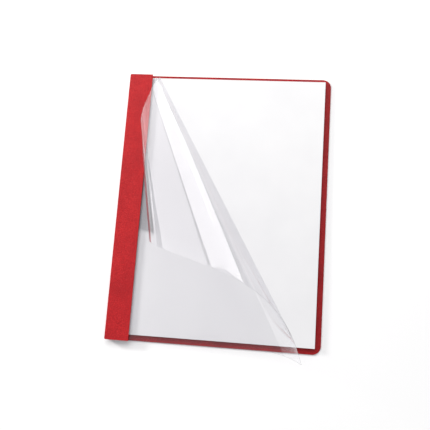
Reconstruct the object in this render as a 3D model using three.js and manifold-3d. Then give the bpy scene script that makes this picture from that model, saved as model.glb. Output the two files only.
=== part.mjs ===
// A report cover with a clear front: a leatherette card back with a spine and a front strip, a clear film
// front whose top outer corner is rolled over and tucked under the strip, and a stack of pages held by
// three double-prong fasteners. Millimetres, +Z up, lying on its back, spine towards -X, top towards +Y.
// The origin is the centre of the back's underside.
import * as THREE from 'three';
import { mergeVertices } from 'three/addons/utils/BufferGeometryUtils.js';
import Module from 'manifold-3d';

const wasm = await Module();
wasm.setup();

// The card
const COVER_WIDTH = 223;
const COVER_HEIGHT = 289;
const CARD = 0.6;
const CORNER_RADIUS = 9;
const SPINE_CORNER = 1.5;
const STRIP_CORNER = 0.5;
const STRIP_WIDTH = 25.6;
const HEM_WIDTH = 4;
const CREASE_GAP = 0.3;

// Air left between pieces that lie on each other, and beside pieces that pass through a cut
const LAY_GAP = 0.1;
const SIDE_GAP = 0.4;

// The pages
const PAGE_WIDTH = 215.9;
const PAGE_HEIGHT = 279.4;
const PAGES_THICK = 2.4;
const PAGES_SHIFT = 1.4;
const HOLE_RADIUS = 3.6;
const HOLE_INSET = 12.7;
const HOLE_PITCH = 108;

// The binding strip glued inside the back, over the bases of the fasteners
const INNER_WIDTH = 24;
const INNER_HEIGHT = 270;
const INNER_CARD = 0.5;
const GLUED_EDGE = 5;

// The fasteners: stamped sheet metal, one base and two prongs each
const METAL = 0.3;
const PRONG_WIDTH = 4.4;
const PRONG_LENGTH = 24;
const PRONG_SPACE = 0.8;
const BEND_RADIUS = 0.6;
const BASE_LENGTH = 18;
const BASE_WIDTH = 9;

// The film: how far its cut edges lie inside the cover's, and the room that it has under the strip
const FILM = 0.2;
const FILM_TOP_INSET = 3.4;
const FILM_FOOT_INSET = 0.4;
const FILM_SIDE_INSET = 8.5;
const FILM_OVER_PRONGS = 0.3;
const TUCK_RISE = 0.5;
const TUCK_ROOM = 0.3;

// The roll, as bends about straight lines in the flat film. A bend line starts on the film's top edge, some
// way along from the strip, and runs down the film at an angle to the spine. From the first bend line to the
// last, at even steps, these are the starts, the angles, and how far the film has turned by then.
const BEND_STARTS = [3.6, 16.1, 42, 87.1, 119.9];
const BEND_ANGLES = [23.3, 39.8, 50.2, 63.4, 71.1];
const BEND_TURNS = [0, 49, 104.1, 150, 190.7, 191.5, 233, 268.3, 253.6, 175.7];
const BENDS = 72;

// Straight steps in a round corner or bend, and in a whole hole
const ARC_STEPS = 10;
const HOLE_STEPS = 28;

const RED = 0xa8262e;
const CLEAR = 0xe6e8ee;
const PAPER = 0xf4f4f4;
const TIN = 0xb9bcc0;
const BUFF = 0x8a2027;

// Heights, each worked out from what lies under it
const pagesBottom = CARD + LAY_GAP;
const innerTop = pagesBottom + METAL + LAY_GAP + INNER_CARD;
const pagesTop = pagesBottom + PAGES_THICK;
const prongBottom = pagesTop + LAY_GAP;
const filmBottom = prongBottom + METAL + FILM_OVER_PRONGS;
const filmMiddle = filmBottom + FILM / 2;
const stripBottom = filmBottom + TUCK_RISE + FILM + TUCK_ROOM;
const stripTop = stripBottom + CARD;
const spineTop = stripBottom - CREASE_GAP;

// Places across and along the cover
const spineFace = -COVER_WIDTH / 2;
const spineInside = spineFace + CARD;
const stripEdge = spineFace + STRIP_WIDTH;
const pagesLeft = spineInside + SIDE_GAP;
const holeX = pagesLeft + HOLE_INSET;
const pagesMiddle = PAGES_SHIFT;
const filmTop = COVER_HEIGHT / 2 - FILM_TOP_INSET;
const filmFoot = FILM_FOOT_INSET - COVER_HEIGHT / 2;
const filmSide = COVER_WIDTH / 2 - FILM_SIDE_INSET;
const holePlaces = [HOLE_PITCH, 0, -HOLE_PITCH].map((y) => pagesMiddle + y);

/** The closed solid of a three.js geometry, ready to cut or join. */
function solid(geometry) {
  const bare = geometry.index ? geometry.toNonIndexed() : geometry.clone();
  bare.deleteAttribute('normal');
  bare.deleteAttribute('uv');
  const merged = mergeVertices(bare, 1e-4);
  const mesh = new wasm.Mesh({
    numProp: 3,
    vertProperties: new Float32Array(merged.attributes.position.array),
    triVerts: new Uint32Array(merged.index.array),
  });
  mesh.merge();
  return new wasm.Manifold(mesh);
}

/** The three.js geometry of a cut or joined solid. */
function geometryOf(body) {
  const mesh = body.getMesh();
  const geometry = new THREE.BufferGeometry();
  geometry.setAttribute('position', new THREE.BufferAttribute(mesh.vertProperties, 3));
  geometry.setIndex(new THREE.BufferAttribute(mesh.triVerts, 1));
  geometry.computeVertexNormals();
  return geometry;
}

/** A box between two corners. */
function block(low, high) {
  const [x0, y0, z0] = low;
  const [x1, y1, z1] = high;
  const box = new THREE.BoxGeometry(x1 - x0, y1 - y0, z1 - z0);
  box.translate((x0 + x1) / 2, (y0 + y1) / 2, (z0 + z1) / 2);
  return solid(box);
}

/** A plate outline from x0 to x1, centred in y, with its own radius at the spine and at the outer edge. */
function plate(x0, x1, height, spineRadius, outerRadius, z0, z1) {
  const y0 = -height / 2;
  const y1 = height / 2;
  const outline = new THREE.Shape();
  outline.moveTo(x0 + spineRadius, y0);
  outline.absarc(x1 - outerRadius, y0 + outerRadius, outerRadius, -Math.PI / 2, 0, false);
  outline.absarc(x1 - outerRadius, y1 - outerRadius, outerRadius, 0, Math.PI / 2, false);
  outline.absarc(x0 + spineRadius, y1 - spineRadius, spineRadius, Math.PI / 2, Math.PI, false);
  outline.absarc(x0 + spineRadius, y0 + spineRadius, spineRadius, Math.PI, Math.PI * 1.5, false);
  const extruded = new THREE.ExtrudeGeometry(outline, { depth: z1 - z0, bevelEnabled: false, curveSegments: ARC_STEPS });
  extruded.translate(0, 0, z0);
  return solid(extruded);
}

/** The back: a card folded up along its spine side, with round outer corners. */
function backCover() {
  const panel = block([spineFace, -COVER_HEIGHT / 2, 0], [COVER_WIDTH / 2, COVER_HEIGHT / 2, CARD]);
  const spine = block([spineFace, -COVER_HEIGHT / 2, 0], [spineInside, COVER_HEIGHT / 2, spineTop]);
  const outline = plate(spineFace, COVER_WIDTH / 2, COVER_HEIGHT, SPINE_CORNER, CORNER_RADIUS, 0, spineTop);
  return geometryOf(panel.add(spine).intersect(outline));
}

/** The front strip: card over the binding margin, with a hem on its underside that holds the film. */
function frontStrip() {
  const hemLeft = spineInside + SIDE_GAP;
  const strip = plate(spineFace, stripEdge, COVER_HEIGHT, SPINE_CORNER, STRIP_CORNER, stripBottom, stripTop);
  const hem = block(
    [hemLeft, filmFoot, filmBottom + FILM + LAY_GAP],
    [hemLeft + HEM_WIDTH, filmTop, stripBottom + CARD / 2],
  );
  return geometryOf(strip.add(hem));
}

/** The stack of pages, punched, and pressed thinner over the binding strip. */
function paperStack() {
  let pages = block(
    [pagesLeft, pagesMiddle - PAGE_HEIGHT / 2, pagesBottom],
    [pagesLeft + PAGE_WIDTH, pagesMiddle + PAGE_HEIGHT / 2, pagesTop],
  );
  pages = pages.subtract(block(
    [spineFace, pagesMiddle - PAGE_HEIGHT, 0],
    [pagesLeft + INNER_WIDTH + SIDE_GAP, pagesMiddle + PAGE_HEIGHT, innerTop + LAY_GAP],
  ));
  for (const y of holePlaces) {
    const hole = new THREE.CylinderGeometry(HOLE_RADIUS, HOLE_RADIUS, stripTop * 2, HOLE_STEPS);
    hole.rotateX(Math.PI / 2);
    hole.translate(holeX, y, 0);
    pages = pages.subtract(solid(hole));
  }
  return geometryOf(pages);
}

/** The binding strip inside the back: glued down along both long edges, raised and slotted between them. */
function innerStrip() {
  const low = pagesMiddle - INNER_HEIGHT / 2;
  const high = pagesMiddle + INNER_HEIGHT / 2;
  const right = pagesLeft + INNER_WIDTH;
  let strip = block([pagesLeft, low, pagesBottom], [right, high, innerTop]);
  strip = strip.subtract(block(
    [pagesLeft + GLUED_EDGE, low - SIDE_GAP, 0],
    [right - GLUED_EDGE, high + SIDE_GAP, innerTop - INNER_CARD],
  ));
  const slotX = PRONG_WIDTH / 2 + SIDE_GAP;
  const slotY = PRONG_SPACE / 2 + METAL + SIDE_GAP;
  for (const y of holePlaces) {
    strip = strip.subtract(block([holeX - slotX, y - slotY, 0], [holeX + slotX, y + slotY, pagesTop]));
  }
  return geometryOf(strip);
}

/** One prong, seen along X: up from the base, a round bend outwards, and a leg that lies on the pages. */
function prong(side) {
  const inner = PRONG_SPACE / 2;
  const outer = inner + METAL;
  const legTop = prongBottom + METAL;
  const bendY = outer + BEND_RADIUS;
  const bendZ = prongBottom - BEND_RADIUS;
  const profile = new THREE.Shape();
  profile.moveTo(inner, pagesBottom);
  profile.lineTo(outer, pagesBottom);
  profile.absarc(bendY, bendZ, BEND_RADIUS, Math.PI, Math.PI / 2, true);
  profile.lineTo(outer + PRONG_LENGTH, prongBottom);
  profile.lineTo(outer + PRONG_LENGTH, legTop);
  profile.absarc(bendY, bendZ, BEND_RADIUS + METAL, Math.PI / 2, Math.PI, false);
  const bar = new THREE.ExtrudeGeometry(profile, { depth: PRONG_WIDTH, bevelEnabled: false, curveSegments: ARC_STEPS });
  // The profile's plane turns from XY to YZ, so that the bar's width runs along X
  bar.rotateX(Math.PI / 2);
  bar.rotateZ(Math.PI / 2);
  bar.translate(-PRONG_WIDTH / 2, 0, 0);
  if (side < 0) bar.rotateZ(Math.PI);
  return solid(bar);
}

/** The rounded outline that trims both legs of a fastener, seen from above. */
function prongOutline() {
  const end = PRONG_SPACE / 2 + METAL + PRONG_LENGTH;
  const round = PRONG_WIDTH / 2;
  const outline = new THREE.Shape();
  outline.absarc(0, end - round, round, 0, Math.PI, false);
  outline.absarc(0, round - end, round, Math.PI, Math.PI * 2, false);
  const extruded = new THREE.ExtrudeGeometry(outline, { depth: stripTop, bevelEnabled: false, curveSegments: ARC_STEPS });
  return solid(extruded);
}

/** A double-prong fastener: a flat base with two prongs that rise through the slot and the hole. */
function fastener(y) {
  const base = block(
    [-BASE_WIDTH / 2, -BASE_LENGTH / 2, pagesBottom],
    [BASE_WIDTH / 2, BASE_LENGTH / 2, pagesBottom + METAL],
  );
  const prongs = prong(1).add(prong(-1)).intersect(prongOutline());
  const geometry = geometryOf(base.add(prongs));
  geometry.translate(holeX, y, 0);
  return geometry;
}

/** A smooth curve through values at even steps from 0 to 1. */
function along(values) {
  const curve = new THREE.SplineCurve(values.map((value, i) => new THREE.Vector2(i, value)));
  return (share) => curve.getPoint(share).y;
}

/** The bend lines in the flat film, each with its start on the top edge, its far end, and its turn. */
function bendLines() {
  const startAt = along(BEND_STARTS);
  const angleAt = along(BEND_ANGLES);
  const turnAt = along(BEND_TURNS);
  const lines = [];
  for (let i = 0; i < BENDS; i += 1) {
    const share = (i + 0.5) / BENDS;
    const angle = THREE.MathUtils.degToRad(angleAt(share));
    const start = new THREE.Vector3(stripEdge + startAt(share), filmTop, filmMiddle);
    const way = new THREE.Vector3(Math.sin(angle), -Math.cos(angle), 0);
    const toBottom = (filmFoot - start.y) / way.y;
    const toRight = (filmSide - start.x) / way.x;
    const end = start.clone().addScaledVector(way, Math.min(toBottom, toRight));
    const turn = THREE.MathUtils.degToRad(turnAt((i + 1) / BENDS) - turnAt(i / BENDS));
    lines.push({ start, way, end, turn, reachesSide: toRight < toBottom });
  }
  return lines;
}

/** The film: flat facets between the bend lines, each turned about all the lines before it, given a thickness. */
function clearCover() {
  const lines = bendLines();
  const at = (x, y) => new THREE.Vector3(x, y, filmMiddle);
  const up = new THREE.Vector3(0, 0, 1);

  // Each facet's outline in the flat film, counter-clockwise, and its place after the bends before it
  const place = new THREE.Matrix4();
  const facets = [];
  lines.forEach((line, i) => {
    const before = lines[i - 1];
    const outline = before ? [before.start, before.end] : [at(pagesLeft, filmTop), at(pagesLeft, filmFoot)];
    const crossesCorner = line.reachesSide && !(before && before.reachesSide);
    if (crossesCorner) outline.push(at(filmSide, filmFoot));
    outline.push(line.end, line.start);
    facets.push({ outline, place: place.clone() });
    const turn = new THREE.Matrix4().makeRotationAxis(line.way, line.turn);
    const shift = line.start.clone().sub(line.start.clone().applyMatrix4(turn));
    place.multiply(turn.setPosition(shift));
  });
  const last = lines[lines.length - 1];
  facets.push({ outline: [last.start, last.end, at(filmSide, filmTop)], place: place.clone() });

  // A corner shared by two facets stands off along the mean of their normals
  const corners = new Map();
  const keyOf = (point) => `${point.x.toFixed(6)},${point.y.toFixed(6)}`;
  for (const facet of facets) {
    const normal = up.clone().transformDirection(facet.place);
    for (const point of facet.outline) {
      const key = keyOf(point);
      if (!corners.has(key)) corners.set(key, { middle: point.clone().applyMatrix4(facet.place), normals: [] });
      corners.get(key).normals.push(normal);
    }
  }
  const positions = [];
  [...corners.values()].forEach((corner, i) => {
    const normal = corner.normals.reduce((sum, one) => sum.add(one), new THREE.Vector3()).normalize();
    corner.index = 2 * i;
    positions.push(...corner.middle.clone().addScaledVector(normal, FILM / 2).toArray());
    positions.push(...corner.middle.clone().addScaledVector(normal, -FILM / 2).toArray());
  });

  // Two faces to each facet, and a rim wherever an outline's side belongs to one facet only
  const triangles = [];
  const sides = new Map();
  for (const facet of facets) {
    const ring = facet.outline.map((point) => corners.get(keyOf(point)).index);
    for (let k = 1; k < ring.length - 1; k += 1) {
      triangles.push(ring[0], ring[k], ring[k + 1]);
      triangles.push(ring[0] + 1, ring[k + 1] + 1, ring[k] + 1);
    }
    ring.forEach((a, k) => {
      const b = ring[(k + 1) % ring.length];
      if (sides.has(`${b},${a}`)) sides.delete(`${b},${a}`);
      else sides.set(`${a},${b}`, [a, b]);
    });
  }
  for (const [a, b] of sides.values()) triangles.push(a, a + 1, b + 1, a, b + 1, b);
  const geometry = new THREE.BufferGeometry();
  geometry.setAttribute('position', new THREE.Float32BufferAttribute(positions, 3));
  geometry.setIndex(triangles);
  geometry.computeVertexNormals();
  return geometry;
}

/** A material with its colour, roughness and metalness. */
function finish(color, roughness, metalness = 0, opacity = 1) {
  return new THREE.MeshStandardMaterial({ color, roughness, metalness, opacity, transparent: opacity < 1 });
}

const leatherette = finish(RED, 0.55);
const clearFilm = finish(CLEAR, 0.08, 0, 0.35);
const paper = finish(PAPER, 0.85);
const tinplate = finish(TIN, 0.35, 0.9);
const bindingCard = finish(BUFF, 0.8);

const reportCover = new THREE.Group();

/** Adds one named piece to the cover. */
function add(name, geometry, material) {
  const mesh = new THREE.Mesh(geometry, material);
  mesh.name = name;
  reportCover.add(mesh);
}

add('back_cover', backCover(), leatherette);
add('front_strip', frontStrip(), leatherette);
add('clear_cover', clearCover(), clearFilm);
add('inner_strip', innerStrip(), bindingCard);
add('paper_stack', paperStack(), paper);
['fastener_top', 'fastener_middle', 'fastener_bottom'].forEach((name, i) => {
  add(name, fastener(holePlaces[i]), tinplate);
});

export default reportCover;
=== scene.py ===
# %% [markdown]
# A report cover with a clear front
#
# A red leatherette card is folded round a stack of pages. Its narrow front strip hides the metal prongs
# that hold them. A clear film lies on the top page, and its outer top corner is rolled over and tucked
# under the strip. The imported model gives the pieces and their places. The film's flat size and its bends
# are written here too, with the numbers of the model's own source. This script makes the surfaces that
# show: the film with its roll, the leatherette, the page edges and the metal.

import bmesh
import bpy
import numpy as np
from mathutils import Matrix, Vector


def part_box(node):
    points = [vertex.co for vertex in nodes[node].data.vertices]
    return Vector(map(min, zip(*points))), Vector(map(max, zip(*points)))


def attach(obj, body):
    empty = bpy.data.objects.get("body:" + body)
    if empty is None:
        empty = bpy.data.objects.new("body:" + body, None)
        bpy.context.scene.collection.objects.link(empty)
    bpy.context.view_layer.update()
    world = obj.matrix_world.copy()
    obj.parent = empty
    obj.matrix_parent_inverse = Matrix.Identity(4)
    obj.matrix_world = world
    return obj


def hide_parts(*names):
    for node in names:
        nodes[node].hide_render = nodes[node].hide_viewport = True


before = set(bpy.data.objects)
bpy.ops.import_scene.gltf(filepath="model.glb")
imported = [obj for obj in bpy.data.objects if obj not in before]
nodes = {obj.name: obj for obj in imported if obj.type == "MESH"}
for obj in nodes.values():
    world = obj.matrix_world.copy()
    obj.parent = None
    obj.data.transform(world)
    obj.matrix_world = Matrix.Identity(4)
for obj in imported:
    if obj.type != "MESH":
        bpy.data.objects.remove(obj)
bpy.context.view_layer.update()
MM = 0.001
print("nodes", sorted(nodes))

# %% [markdown]
# The camera stands a little to the right of the cover's middle and towards its foot, and looks almost
# straight down. Its place and axes were fitted to the edges of the pages, the cover and the strip and to
# one corner of the film, with the pages taken as letter size. The focal length is assumed. The picture may
# be cut from a larger one, and a small shift of the lens allows for that.

# %% The camera
IMAGE_SIDE = 430
FOCAL_PIXELS = 500.0
SENSOR = 36.0
CAMERA_PLACE = Vector((0.08116, -0.06315, 0.52486))
CAMERA_RIGHT = Vector((0.99372, 0.06214, -0.09302))
CAMERA_UP = Vector((-0.04768, 0.98749, 0.15029))
SHIFT_PIXELS = (-31.8, -19.7)
NEAREST = 0.01
FARTHEST = 50


def add_camera():
    """A camera whose axes are right, up and back, as columns of its matrix."""
    data = bpy.data.cameras.new("camera")
    data.sensor_width = SENSOR
    data.lens = SENSOR * FOCAL_PIXELS / IMAGE_SIDE
    data.shift_x = SHIFT_PIXELS[0] / IMAGE_SIDE
    data.shift_y = SHIFT_PIXELS[1] / IMAGE_SIDE
    data.clip_start = NEAREST
    data.clip_end = FARTHEST
    camera = bpy.data.objects.new("camera", data)
    bpy.context.scene.collection.objects.link(camera)
    back = CAMERA_RIGHT.cross(CAMERA_UP).normalized()
    axes = Matrix((CAMERA_RIGHT, CAMERA_UP, back)).transposed()
    camera.matrix_world = Matrix.Translation(CAMERA_PLACE) @ axes.to_4x4()
    bpy.context.scene.camera = camera
    return camera


camera = add_camera()
print("camera lens", round(camera.data.lens, 2), "mm")

# %% [markdown]
# A material is built from nodes. These helpers keep the cells short: one makes a material with its
# Principled shader, one adds a node, sets its values and joins its inputs, and the others add the nodes
# that most materials need. The last one gives a solid its material.


# %% Helpers for materials
def new_material(name, color, roughness, metallic=0.0):
    """A material with one Principled shader, and the shader itself."""
    material = bpy.data.materials.new(name)
    material.use_nodes = True
    shader = material.node_tree.nodes["Principled BSDF"]
    shader.inputs["Base Color"].default_value = (*color, 1)
    shader.inputs["Roughness"].default_value = roughness
    shader.inputs["Metallic"].default_value = metallic
    return material, shader


def node(material, kind, inputs=None, **settings):
    """A node in a material or a world. inputs maps a socket to a value or to another node's output."""
    made = material.node_tree.nodes.new(kind)
    for key, value in settings.items():
        setattr(made, key, value)
    for key, value in (inputs or {}).items():
        if isinstance(value, bpy.types.NodeSocket):
            material.node_tree.links.new(value, made.inputs[key])
        else:
            made.inputs[key].default_value = value
    return made


def ramp(material, factor, stops):
    """A colour ramp. stops are pairs of a place from 0 to 1 and a grey or a colour."""
    made = node(material, "ShaderNodeValToRGB", {"Fac": factor})
    elements = made.color_ramp.elements
    while len(elements) < len(stops):
        elements.new(0.5)
    for element, (place, value) in zip(elements, stops):
        element.position = place
        element.color = (*value, 1) if isinstance(value, tuple) else (value, value, value, 1)
    return made


def noise(material, place, scale, detail):
    """A noise of that many waves to the metre at place."""
    return node(material, "ShaderNodeTexNoise", {"Vector": place, "Scale": scale, "Detail": detail})


def join(material, output, shader, socket):
    """Joins an output to a named input of the shader."""
    material.node_tree.links.new(output, shader.inputs[socket])


def relief(material, shader, height, strength, depth):
    """Makes the shader's surface uneven by height, which goes from 0 to 1 over that depth."""
    bump = node(material, "ShaderNodeBump", {"Height": height, "Strength": strength, "Distance": depth})
    join(material, bump.outputs["Normal"], shader, "Normal")


def mix_surfaces(material, share, first, second):
    """Gives the material the first shader's surface, with that share of the second one's."""
    mixed = node(material, "ShaderNodeMixShader", {0: share, 1: first.outputs[0], 2: second.outputs[0]})
    join(material, mixed.outputs[0], material.node_tree.nodes["Material Output"], "Surface")


def coat(solid, material):
    """Gives the solid that material alone."""
    solid.data.materials.clear()
    solid.data.materials.append(material)


# %% [markdown]
# Leatherette is card with a coloured coat, pressed with a grain of small pebbles. Voronoi cells give the
# pebbles and the creases between them, fine noise breaks them up, and both go into one bump. The same
# grain also paints light into the coat: a painted highlight makes it a little lighter on the pebbles, and
# painted shade makes it darker in the creases. Soft clouds vary the red at random.

# %% Leatherette
# The darkest red is painted shade for the creases of the grain, and the lightest a painted highlight for its
# pebbles
RED = (0.52, 0.014, 0.018)
RED_PEBBLE_HIGHLIGHT = (0.66, 0.026, 0.025)
RED_CREASE_SHADE = (0.34, 0.008, 0.012)
PEBBLES_PER_METRE = 700
SPECKS_PER_METRE = 2400
CLOUDS_PER_METRE = 38
CREASE_WIDTH = 0.28
LOWEST_GRAIN = 0.1
RED_STOPS = (0.05, 0.27, 0.5)
DULL, GLOSSY = (0.1, 0.62), (0.7, 0.42)
GRAIN_STRENGTH = 0.8
GRAIN_DEPTH = 0.3 * MM
# How much each part's red is darkened: the back cover's darker red is painted shade for its margins, which
# lie low beside the pages
RED_PAINTED_SHADE = {"back_cover": 1.4, "front_strip": 1.0}


def leatherette(name, depth):
    """Red coated card with an embossed grain, painted with shade in its creases and a highlight on its
    pebbles. A depth over 1 darkens the red all over as painted shade.
    """
    material, shader = new_material(name, RED, 0.5)
    shader.inputs["Specular IOR Level"].default_value = 0.25
    place = node(material, "ShaderNodeTexCoord").outputs["Object"]
    pebbles = node(material, "ShaderNodeTexVoronoi", {"Vector": place, "Scale": PEBBLES_PER_METRE},
                   feature="DISTANCE_TO_EDGE")
    specks = noise(material, place, SPECKS_PER_METRE, 3.0)
    clouds = noise(material, place, CLOUDS_PER_METRE, 4.0)
    crease = ramp(material, pebbles.outputs["Distance"], [(0.0, 0.0), (CREASE_WIDTH, 1.0)])
    grain = node(material, "ShaderNodeMath",
                 {0: crease.outputs["Color"], 1: specks.outputs["Fac"], 2: LOWEST_GRAIN},
                 operation="MULTIPLY_ADD").outputs[0]
    # tone is the grain times the clouds: low in the creases as painted shade, high on the pebbles as a
    # painted highlight, varied at random by the clouds
    tone = node(material, "ShaderNodeMath", {0: grain, 1: clouds.outputs["Fac"]}, operation="MULTIPLY")
    # Dividing by the depth darkens all three reds of the back cover as painted shade
    reds = [tuple(part / depth for part in red) for red in (RED_CREASE_SHADE, RED, RED_PEBBLE_HIGHLIGHT)]
    colour = ramp(material, tone.outputs[0], list(zip(RED_STOPS, reds)))
    join(material, colour.outputs["Color"], shader, "Base Color")
    rough = ramp(material, grain, [DULL, GLOSSY])
    join(material, rough.outputs["Color"], shader, "Roughness")
    relief(material, shader, grain, GRAIN_STRENGTH, GRAIN_DEPTH)
    return material


for name, depth in RED_PAINTED_SHADE.items():
    coat(nodes[name], leatherette(name + "_leatherette", depth))
print("leatherette on the back and the strip")

# %% [markdown]
# The pages are one solid in the model. What shows is the bright top sheet, with the faint fibre of
# uncoated paper, and the cut edges, where the sheets make fine lines. The lines come from a wave across Z
# that noise makes uneven, and they only reach the sides, because the top is level.

# %% Paper
PAPER = (0.825, 0.825, 0.83)
PAPER_SHADE = (0.76, 0.76, 0.77)
SHEET_THICKNESS = 0.1 * MM
FIBRES_PER_METRE = 900.0
WAVES_PER_METRE = 25.0
FIBRE_DEPTH = 0.1 * MM


def paper():
    """White uncoated paper, with the edges of its sheets showing as lines."""
    material, shader = new_material("paper", PAPER, 0.85)
    place = node(material, "ShaderNodeTexCoord").outputs["Object"]
    fibre = noise(material, place, FIBRES_PER_METRE, 5.0)
    wobble = noise(material, place, WAVES_PER_METRE, 2.0)
    height = node(material, "ShaderNodeSeparateXYZ", {"Vector": place}).outputs["Z"]
    sheets = node(material, "ShaderNodeMath", {0: height, 1: 1 / SHEET_THICKNESS}, operation="MULTIPLY")
    uneven = node(material, "ShaderNodeMath", {0: sheets.outputs[0], 1: wobble.outputs["Fac"]},
                  operation="ADD")
    saw = node(material, "ShaderNodeMath", {0: uneven.outputs[0], 1: 1.0}, operation="PINGPONG")
    tone = node(material, "ShaderNodeMix",
                {"Factor": saw.outputs[0], "A": (*PAPER_SHADE, 1), "B": (*PAPER, 1)}, data_type="RGBA")
    join(material, tone.outputs["Result"], shader, "Base Color")
    relief(material, shader, fibre.outputs["Fac"], 0.12, FIBRE_DEPTH)
    return material


coat(nodes["paper_stack"], paper())

# %% [markdown]
# The binding strip is plain card, and the prongs are stamped tinplate. Both are hidden at rest and show
# when the front is open. The metal has the long fine scratches of rolled sheet, which a noise stretched
# along Y gives.

# %% Binding card and tinplate
CARD_RED = (0.26, 0.02, 0.03)
CARD_DARK = (0.22, 0.016, 0.024)
CARD_LIGHT = (0.31, 0.03, 0.038)
CARD_FIBRES_PER_METRE = 700.0
TIN = (0.72, 0.73, 0.75)
SCRATCHES_PER_METRE = (4000.0, 120.0, 4000.0)


def binding_card():
    """Plain red card with a soft fibre."""
    material, shader = new_material("binding_card", CARD_RED, 0.8)
    place = node(material, "ShaderNodeTexCoord").outputs["Object"]
    fibre = noise(material, place, CARD_FIBRES_PER_METRE, 4.0)
    colour = ramp(material, fibre.outputs["Fac"], [(0.3, CARD_DARK), (0.7, CARD_LIGHT)])
    join(material, colour.outputs["Color"], shader, "Base Color")
    relief(material, shader, fibre.outputs["Fac"], 0.3, FIBRE_DEPTH)
    return material


def tinplate():
    """Bright rolled tinplate."""
    material, shader = new_material("tinplate", TIN, 0.3, 1.0)
    place = node(material, "ShaderNodeTexCoord").outputs["Object"]
    stretch = node(material, "ShaderNodeMapping", {"Vector": place, "Scale": SCRATCHES_PER_METRE})
    lines = noise(material, stretch.outputs[0], 1.0, 3.0)
    rough = ramp(material, lines.outputs["Fac"], [(0.3, 0.22), (0.7, 0.42)])
    join(material, rough.outputs["Color"], shader, "Roughness")
    relief(material, shader, lines.outputs["Fac"], 0.2, 0.00005)
    return material


coat(nodes["inner_strip"], binding_card())
tin = tinplate()
for name in ("fastener_top", "fastener_middle", "fastener_bottom"):
    coat(nodes[name], tin)

# %% [markdown]
# Clear film is nearly all transparent. What shows is its reflection, weak where it faces the eye and
# strong at a slant, a slight grey where light passes twice, and its cut edge. So the material mixes a
# Transparent shader with a mirror-like one by Fresnel. The film is a thin solid, and a ray meets both faces.
# A ray that leaves through the far face meets the index upside down, so the index is turned over there.
# Light on its way from a lamp loses less, because most of what a layer reflects reaches the paper anyway.

# %% Clear film
FILM_TINT = (0.975, 0.973, 0.978)
FILM_EDGE = (0.14, 0.14, 0.16)
EDGE_DARK = (0.11, 0.11, 0.13)
EDGE_LIGHT = (0.17, 0.17, 0.19)
FILM_INDEX = 1.5
HAZE = 0.012
LAMP_SHARE = 0.2
EDGE_SHARE = 0.7


def clear_film():
    """Glossy clear film: transparent, with a Fresnel reflection and a little haze."""
    material, shader = new_material("clear_film", (0.95, 0.95, 0.97), 0.06, 1.0)
    place = node(material, "ShaderNodeTexCoord").outputs["Object"]
    swell = noise(material, place, 14.0, 1.0)
    relief(material, shader, swell.outputs["Fac"], 0.25, 0.002)
    clear = node(material, "ShaderNodeBsdfTransparent", {"Color": (*FILM_TINT, 1)})
    behind = node(material, "ShaderNodeNewGeometry").outputs["Backfacing"]
    index = node(material, "ShaderNodeMapRange",
                 {"Value": behind, "To Min": FILM_INDEX, "To Max": 1 / FILM_INDEX})
    mirror = node(material, "ShaderNodeFresnel", {"IOR": index.outputs[0]})
    share = node(material, "ShaderNodeMath", {0: mirror.outputs[0], 1: HAZE}, operation="ADD")
    lamp_ray = node(material, "ShaderNodeLightPath").outputs["Is Shadow Ray"]
    stays = node(material, "ShaderNodeMapRange", {"Value": lamp_ray, "To Min": 1.0, "To Max": LAMP_SHARE})
    seen = node(material, "ShaderNodeMath", {0: share.outputs[0], 1: stays.outputs[0]}, operation="MULTIPLY")
    mix_surfaces(material, seen.outputs[0], clear, shader)
    return material


def film_edge():
    """The cut edge of the film, where light runs along inside it and comes out grey."""
    material, shader = new_material("film_edge", FILM_EDGE, 0.3)
    place = node(material, "ShaderNodeTexCoord").outputs["Object"]
    nicks = noise(material, place, 300.0, 2.0)
    colour = ramp(material, nicks.outputs["Fac"], [(0.3, EDGE_DARK), (0.7, EDGE_LIGHT)])
    join(material, colour.outputs["Color"], shader, "Base Color")
    clear = node(material, "ShaderNodeBsdfTransparent")
    mix_surfaces(material, EDGE_SHARE, clear, shader)
    return material


film_face = clear_film()
film_rim = film_edge()

# %% [markdown]
# The film stays flat in one direction wherever it bends, as any sheet does that doesn't stretch. So the
# roll is a run of small bends about straight lines in the flat film. Each line starts on the top edge and
# runs down the film at an angle to the spine. Three smooth curves say where the lines start, how they lean
# and how far the film has turned. Every point beyond a line turns with it, which keeps the film's flat size.

# %% The film's flat size and its bend lines
_, strip_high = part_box("front_strip")
_, pages_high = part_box("paper_stack")
film_low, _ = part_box("clear_cover")
STRIP_EDGE = strip_high.x
FILM_LEFT = film_low.x
FILM_TOP = pages_high.y
FILM_THICK = 0.2 * MM
FILM_REACH = 188.9 * MM
FILM_BELOW = 285.2 * MM
FILM_MIDDLE = film_low.z + FILM_THICK / 2
FILM_RIGHT = STRIP_EDGE + FILM_REACH
FILM_BOTTOM = FILM_TOP - FILM_BELOW
# At even steps along the roll: where a bend line starts, in mm from the strip, how it leans from the
# spine, and how far the film has turned there, both in degrees
BEND_STARTS = [3.6, 16.1, 42, 87.1, 119.9]
BEND_ANGLES = [23.3, 39.8, 50.2, 63.4, 71.1]
BEND_TURNS = [0, 49, 104.1, 150, 190.7, 191.5, 233, 268.3, 253.6, 175.7]
BENDS = 288
HALVINGS = 40
ON_EDGE = 1e-9


def smooth_curve(values, share):
    """A Catmull-Rom curve through values at even steps, at each share from 0 to 1."""
    values = np.asarray(values, float)
    place = np.asarray(share) * (len(values) - 1)
    step = np.minimum(place.astype(int), len(values) - 1)
    t = place - step
    before = values[np.maximum(step - 1, 0)]
    here = values[step]
    after = values[np.minimum(step + 1, len(values) - 1)]
    beyond = values[np.minimum(step + 2, len(values) - 1)]
    m0, m1 = (after - before) / 2, (beyond - here) / 2
    cubic = 2 * here - 2 * after + m0 + m1
    square = -3 * here + 3 * after - 2 * m0 - m1
    return ((cubic * t + square) * t + m0) * t + here


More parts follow.
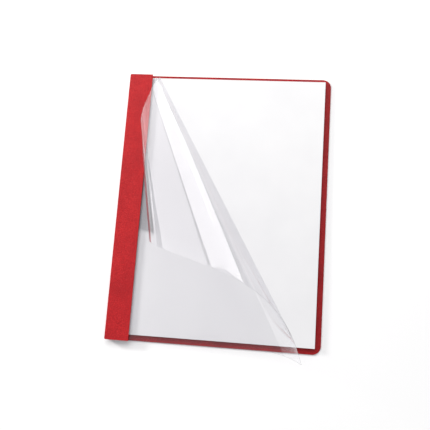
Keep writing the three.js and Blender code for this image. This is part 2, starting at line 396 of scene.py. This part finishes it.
def flat_lines(shares):
    """Start and far end of the bend line at each share, in the flat film, cut off at its outline."""
    angle = np.radians(smooth_curve(BEND_ANGLES, shares))
    start = np.stack([STRIP_EDGE + smooth_curve(BEND_STARTS, shares) * MM,
                      np.full_like(angle, FILM_TOP)], axis=1)
    way = np.stack([np.sin(angle), -np.cos(angle)], axis=1)
    to_bottom = (FILM_BOTTOM - start[:, 1]) / way[:, 1]
    to_right = (FILM_RIGHT - start[:, 0]) / way[:, 0]
    end = start + way * np.minimum(to_bottom, to_right)[:, None]
    return start, end, way


def share_at_corner():
    """The share whose line meets the film's lower outer corner, found by halving."""
    low, high = 0.0, 1.0
    for _ in range(HALVINGS):
        middle = (low + high) / 2
        _, end, _ = flat_lines(np.array([middle]))
        if end[0, 0] < FILM_RIGHT - ON_EDGE:
            low = middle
        else:
            high = middle
    return (low + high) / 2


corner_share = share_at_corner()
shares = np.sort(np.append((np.arange(BENDS) + 0.5) / BENDS, corner_share))
starts, ends, ways = flat_lines(shares)
print("bend lines", len(shares), "corner at share", round(corner_share, 3))

# %% [markdown]
# Turning about one line after another is a product of rotations. Each matrix below carries what lies
# beyond its line, and the row of film between two lines uses the product of all the lines before it.

# %% Bend the film
FLAT_ROWS = np.linspace(0, 1, 13)[1:-1]
LAST_ROWS = np.linspace(0, 1, 9)[1:]
COLUMNS = 61
WELD = 1e-7
SHOWN_THICKNESS = 0.8 * FILM_THICK


def turn_about(point, way, angle):
    """The 4 by 4 matrix of a turn by angle about the line through point along way, both level."""
    c, s = np.cos(angle), np.sin(angle)
    x, y = way
    turn = np.array([[c + x * x * (1 - c), x * y * (1 - c), y * s],
                     [x * y * (1 - c), c + y * y * (1 - c), -x * s],
                     [-y * s, x * s, c]])
    about = np.array([point[0], point[1], FILM_MIDDLE])
    matrix = np.eye(4)
    matrix[:3, :3] = turn
    matrix[:3, 3] = about - turn @ about
    return matrix


def film_rows():
    """Every row of the film, as its two ends in the flat film and the matrix that puts it in its place.

    The rows are the left edge, some between it and the first bend line, the bend lines, and some that
    shrink to the last corner. The matrix is the product of the turns about all the lines before the row.
    """
    edges = np.concatenate([[0.0], (shares[1:] + shares[:-1]) / 2, [1.0]])
    turns = np.radians(np.diff(smooth_curve(BEND_TURNS, edges)))
    left = np.array([[FILM_LEFT, FILM_TOP], [FILM_LEFT, FILM_BOTTOM]])
    corner = np.array([FILM_RIGHT, FILM_TOP])
    rows = [(left[0], left[1], np.eye(4))]
    for part in FLAT_ROWS:
        top, foot = left[0] + (starts[0] - left[0]) * part, left[1] + (ends[0] - left[1]) * part
        rows.append((top, foot, np.eye(4)))
    place = np.eye(4)
    for start, end, way, turn in zip(starts, ends, ways, turns):
        rows.append((start, end, place.copy()))
        place = place @ turn_about(start, way, turn)
    for part in LAST_ROWS:
        top, foot = starts[-1] + (corner - starts[-1]) * part, ends[-1] + (corner - ends[-1]) * part
        rows.append((top, foot, place))
    return rows


def film_points(columns):
    """The film's middle surface as a grid, and the same points in the flat film.

    A point is start + (end - start) * share in the flat film, then moved by its row's matrix.
    """
    along = np.linspace(0, 1, columns)[:, None]
    bent, flat = [], []
    for start, end, place in film_rows():
        level = start + (end - start) * along
        point = np.column_stack([level, np.full(columns, FILM_MIDDLE), np.ones(columns)])
        bent.append((point @ place.T)[:, :3])
        flat.append(level)
    return np.array(bent), np.array(flat)


def grid_mesh(name, points, flat):
    """A mesh from a grid of points, with the flat film's own place as its UV map."""
    rows, columns = points.shape[:2]
    number = np.arange(rows * columns).reshape(rows, columns)
    faces = np.stack([number[:-1, :-1], number[:-1, 1:], number[1:, 1:], number[1:, :-1]], axis=-1)
    mesh = bpy.data.meshes.new(name)
    mesh.from_pydata(points.reshape(-1, 3).tolist(), [], faces.reshape(-1, 4).tolist())
    uv = mesh.uv_layers.new(name="flat")
    loops = np.zeros(len(mesh.loops), int)
    mesh.loops.foreach_get("vertex_index", loops)
    uv.data.foreach_set("uv", flat.reshape(-1, 2)[loops].ravel())
    mesh.shade_smooth()
    return mesh


points, flat = film_points(COLUMNS)
film = bpy.data.objects.new("clear_film", grid_mesh("clear_film", points, flat))
bpy.context.scene.collection.objects.link(film)
merged = bmesh.new()
merged.from_mesh(film.data)
bmesh.ops.remove_doubles(merged, verts=merged.verts, dist=WELD)
merged.to_mesh(film.data)
merged.free()
film.data.materials.append(film_face)
film.data.materials.append(film_rim)
thickness = film.modifiers.new("thickness", "SOLIDIFY")
thickness.thickness = SHOWN_THICKNESS
thickness.offset = 0
thickness.material_offset_rim = 1
# The rim is narrow, so weighting by area keeps it from tilting the smooth shading of the film beside it
film.modifiers.new("face_normals", "WEIGHTED_NORMAL").mode = "FACE_AREA"
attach(film, "front")
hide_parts("clear_cover")
print("film", len(film.data.polygons), "faces, highest point", round(points[..., 2].max() / MM, 1), "mm")

# %% [markdown]
# The floor is a plain pale table that turns white further off, as in a product photo. The world lights
# everything softly. Two big lamps stand where the roll reflects them: one beyond the head, which makes the
# white band along the roll, and one at the left, which brightens its left side. A small low lamp at the
# left gives the short shadows at the foot and beside the pages. The film doesn't show it.

# %% Floor, world and lamps
FLOOR = (0.95, 0.95, 0.95)
LAMP_COLOR = (1, 0.985, 0.965)
ROOM = (0.95, 0.96, 1)
NEAR_FLOOR = 0.18
FAR_FLOOR = 0.42
FLOOR_SIDE = 12
FLOOR_PLACE = (0, 0, -0.2 * MM)
WHITE = (1, 1, 1, 1)


def add_floor():
    """A large flat floor. Near the cover it takes light and shadow, and far off it is seen as white."""
    bpy.ops.mesh.primitive_plane_add(size=FLOOR_SIDE, location=FLOOR_PLACE)
    floor = bpy.context.object
    floor.name = "floor"
    material, shader = new_material("floor", FLOOR, 0.9)
    shader.inputs["Specular IOR Level"].default_value = 0.1
    place = node(material, "ShaderNodeTexCoord").outputs["Object"]
    away = node(material, "ShaderNodeVectorMath", {0: place}, operation="LENGTH").outputs["Value"]
    fade = node(material, "ShaderNodeMapRange",
                {"Value": away, "From Min": NEAR_FLOOR, "From Max": FAR_FLOOR})
    seen = node(material, "ShaderNodeLightPath").outputs["Is Camera Ray"]
    share = node(material, "ShaderNodeMath", {0: seen, 1: fade.outputs[0]}, operation="MULTIPLY")
    white = node(material, "ShaderNodeEmission", {"Color": WHITE, "Strength": 1.0})
    mix_surfaces(material, share.outputs[0], shader, white)
    floor.data.materials.append(material)


def add_world(as_light, in_mirror):
    """A pale room: white where the eye sees it, and dimmer as a light and in reflections."""
    world = bpy.data.worlds.new("room")
    bpy.context.scene.world = world
    world.use_nodes = True
    rays = node(world, "ShaderNodeLightPath").outputs
    colour = node(world, "ShaderNodeMix",
                  {"Factor": rays["Is Camera Ray"], "A": (*ROOM, 1), "B": WHITE}, data_type="RGBA")
    strength = node(world, "ShaderNodeMapRange",
                    {"Value": rays["Is Glossy Ray"], "To Min": as_light, "To Max": in_mirror})
    shown = node(world, "ShaderNodeMath", {0: strength.outputs[0], 1: rays["Is Camera Ray"]},
                 operation="MAXIMUM")
    background = world.node_tree.nodes["Background"]
    join(world, colour.outputs["Result"], background, "Color")
    join(world, shown.outputs[0], background, "Strength")


def add_lamp(name, place, aim, width, height, power, roll=0.0):
    """A flat lamp of that width and height at place, turned towards aim and rolled about that line."""
    data = bpy.data.lights.new(name, "AREA")
    data.shape = "RECTANGLE"
    data.size = width
    data.size_y = height
    data.energy = power
    data.color = LAMP_COLOR
    lamp = bpy.data.objects.new(name, data)
    lamp.location = place
    towards = (Vector(aim) - Vector(place)).to_track_quat("-Z", "Y").to_matrix()
    lamp.rotation_euler = (towards @ Matrix.Rotation(roll, 3, "Z")).to_euler()
    bpy.context.scene.collection.objects.link(lamp)
    return lamp


add_floor()
add_world(as_light=0.43, in_mirror=0.42)
add_lamp("head", (0.03, 1.8, 1.215), aim=(0, 0, 0), width=3.675, height=1.425, power=57, roll=0.5)
add_lamp("left", (-1.95, 0.75, 1.53), aim=(0, 0.75, 1.53), width=1.5, height=2.85, power=27, roll=-0.43)
side = add_lamp("side", (-1.3, 0.45, 0.34), aim=(0, 0, 0), width=0.25, height=0.15, power=18)
side.visible_glossy = False

# %% [markdown]
# Plain colours need the Standard view. The film is a little thinner here than in the model, so that it stays
# inside it.

# %% Settings
bpy.context.scene.view_settings.view_transform = "Standard"
